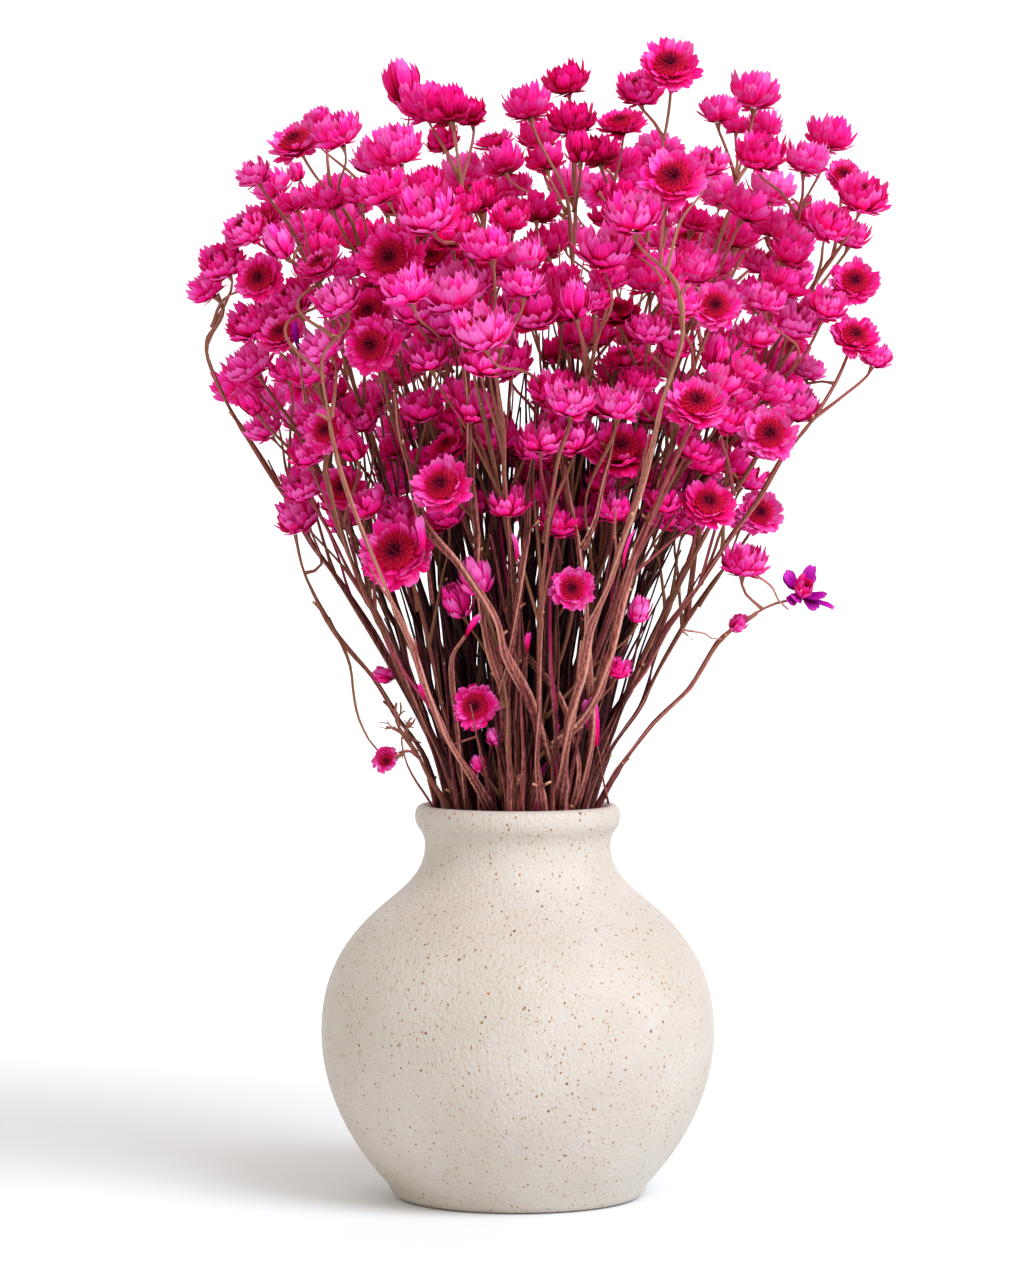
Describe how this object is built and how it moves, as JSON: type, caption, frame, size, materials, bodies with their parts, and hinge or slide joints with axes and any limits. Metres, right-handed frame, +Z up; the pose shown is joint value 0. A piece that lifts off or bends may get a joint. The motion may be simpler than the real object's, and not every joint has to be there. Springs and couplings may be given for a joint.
{
  "type": "dried winged everlasting in a vase",
  "caption": "Bouquet of dyed dried everlasting: branched ridged stems with layered papery heads, fanned out from a round-bellied, short-necked stoneware vase.",
  "frame": {"origin": "middle of the vase's foot, on the plane it stands on", "axes": "+Z up along the vase's axis, +X to the right and -Y towards the viewer, as in the picture"},
  "size_m": [0.2293, 0.2182, 0.381],
  "materials": {
    "stoneware": "satin matt glaze, warm cream with fine brown specks",
    "dyed_bracts": "dry papery bracts, dyed bright pink",
    "violet_bracts": "dry papery bracts, dyed violet",
    "flower_disc": "soft fuzzy crimson disc",
    "dried_stem": "dry ridged stem, brown mauve"
  },
  "bodies": {
    "root": {"vase": "stoneware", "left_1": "dyed_bracts", "left_2": "dyed_bracts", "left_3": "dyed_bracts", "left_4": "dyed_bracts", "left_5": "dyed_bracts", "left_6": "dyed_bracts", "left_7": "dyed_bracts", "left_8": "dyed_bracts", "left_9": "dyed_bracts", "left_10": "dyed_bracts", "left_11": "dyed_bracts", "left_12": "dyed_bracts", "left_13": "dyed_bracts", "left_14": "dyed_bracts", "top_1": "dyed_bracts", "top_2": "dyed_bracts", "top_3": "dyed_bracts", "top_4": "dyed_bracts", "top_5": "dyed_bracts", "top_6": "dyed_bracts", "top_7": "dyed_bracts", "top_8": "dyed_bracts", "top_9": "dyed_bracts", "top_10": "dyed_bracts", "right_1": "dyed_bracts", "right_2": "dyed_bracts", "right_3": "dyed_bracts", "right_4": "dyed_bracts", "right_5": "dyed_bracts", "right_6": "dyed_bracts", "right_7": "dyed_bracts", "right_8": "dyed_bracts", "right_9": "dyed_bracts", "mid_1": "dyed_bracts", "mid_2": "dyed_bracts", "mid_3": "dyed_bracts", "mid_4": "dyed_bracts", "mid_5": "dyed_bracts", "mid_6": "dyed_bracts", "mid_7": "dyed_bracts", "mid_8": "dyed_bracts", "mid_9": "dyed_bracts", "low_1": "dyed_bracts", "low_2": "dyed_bracts", "low_3": "dyed_bracts", "low_4": "dyed_bracts", "low_5": "dyed_bracts", "low_6": "dyed_bracts", "low_7": "dyed_bracts", "low_8": "dyed_bracts", "right_stray": "dyed_bracts", "left_stray": "dyed_bracts", "back_1": "dyed_bracts", "back_2": "dyed_bracts", "back_3": "dyed_bracts", "back_4": "dyed_bracts", "back_5": "dyed_bracts", "back_6": "dyed_bracts", "curled_twig": "dried_stem"}
  },
  "joints": []
}
